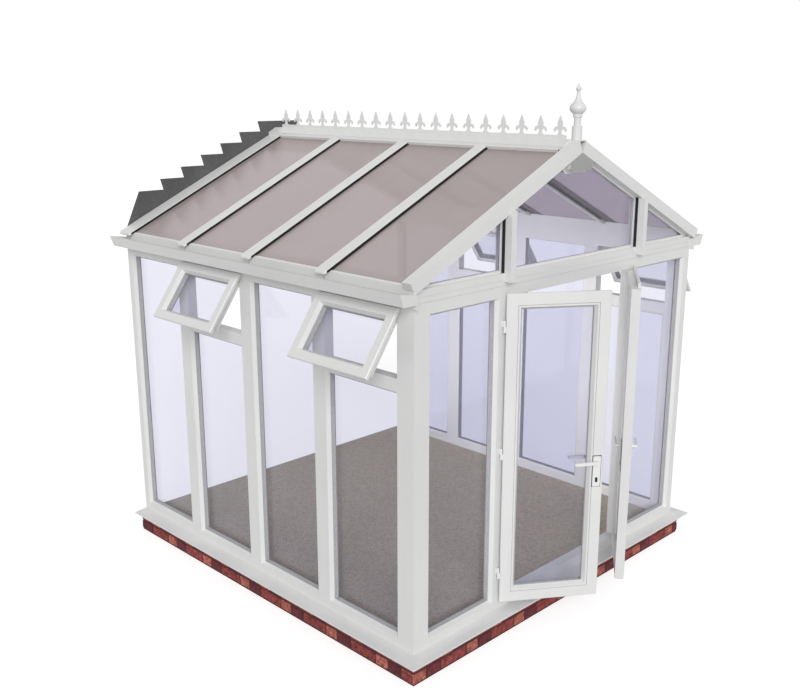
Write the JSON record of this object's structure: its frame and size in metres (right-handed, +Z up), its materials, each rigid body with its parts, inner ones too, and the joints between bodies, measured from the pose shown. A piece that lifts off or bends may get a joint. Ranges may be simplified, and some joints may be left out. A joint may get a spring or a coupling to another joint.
{
  "type": "conservatory",
  "caption": "White gable-fronted conservatory on a brick plinth: glazed walls with open top-hung vents, French doors that swing out, tinted glazed roof with ridge cresting and a finial.",
  "frame": {"origin": "on the ground under the middle of the frames' footprint", "axes": "+Z up, -Y the gable front with the doors, +Y the house wall, +X to the right seen from the front"},
  "size_m": [3.393, 3.4144, 3.4182],
  "materials": {
    "white_frame": "smooth white PVC",
    "wall_glass": "clear, faint lavender",
    "roof_glazing": "bronze tint",
    "brick": "red multi brick",
    "concrete": "rough cast",
    "floor_finish": "speckled beige",
    "lead": "dull grey lead sheet",
    "gasket": "black glazing rubber",
    "grey_cap": "grey end cap",
    "door_furniture": "white enamel"
  },
  "bodies": {
    "root": {"cill_front": "white_frame", "cill_left": "white_frame", "cill_right": "white_frame", "left_corner_post": "white_frame", "left_wall_rails": "white_frame", "left_wall_posts": "white_frame", "right_wall_rails": "white_frame", "right_wall_posts": "white_frame", "vent_sashes": "white_frame", "front_rails": "white_frame", "front_posts": "white_frame", "gable_rail": "white_frame", "gable_mullions": "white_frame", "gable_beads": "white_frame", "gable_rafter_left": "white_frame", "gable_rafter_right": "white_frame", "eaves_beams": "white_frame", "gutters": "white_frame", "roof_bars": "white_frame", "roof_edge_trims": "white_frame", "ridge_beam": "white_frame", "ridge_cap": "white_frame", "ridge_cresting": "white_frame", "finial": "white_frame", "left_wall_glass": "wall_glass", "right_wall_glass": "wall_glass", "vent_glass": "wall_glass", "front_glass": "wall_glass", "gable_glass": "wall_glass", "roof_panes": "roof_glazing", "brick_plinth_front": "brick", "brick_plinth_left": "brick", "brick_plinth_right": "brick", "floor_slab": "concrete", "floor_covering": "floor_finish", "stepped_flashing_left": "lead", "stepped_flashing_right": "lead", "roof_gaskets": "gasket", "gable_gaskets": "gasket", "ridge_end_cap": "grey_cap", "door_hinge_brackets": "door_furniture"},
    "left_door": {"left_door_leaf": "white_frame", "left_door_glass": "wall_glass", "left_door_handle_plates": "door_furniture", "left_door_hinge_knuckles": "door_furniture"},
    "right_door": {"right_door_leaf": "white_frame", "right_door_glass": "wall_glass", "right_door_handle_plates": "door_furniture", "right_door_hinge_knuckles": "door_furniture", "right_door_floating_mullion": "white_frame"},
    "left_handle": {"left_door_lever": "door_furniture"},
    "right_handle": {"right_door_lever": "door_furniture"}
  },
  "joints": [
    {"name": "left_door_swing", "type": "hinge", "parent": "root", "child": "left_door", "pos_m": [-0.689, -1.506, 1.226], "axis": [0, 0, -1], "range_deg": [-35, 55]},
    {"name": "right_door_swing", "type": "hinge", "parent": "root", "child": "right_door", "pos_m": [0.689, -1.506, 1.226], "axis": [0, 0, 1], "range_deg": [-35, 55]},
    {"name": "left_handle_turn", "type": "hinge", "parent": "left_door", "child": "left_handle", "pos_m": [-0.19174, -1.86457, 1.143], "axis": [-0.5736, -0.8192, 0], "range_deg": [0, 40], "stiffness_Nm_per_rad": 1.5, "springref_deg": -34.38},
    {"name": "right_handle_turn", "type": "hinge", "parent": "right_door", "child": "right_handle", "pos_m": [0.19174, -1.86457, 1.143], "axis": [-0.5736, 0.8192, 0], "range_deg": [0, 40], "stiffness_Nm_per_rad": 1.5, "springref_deg": -34.38}
  ]
}
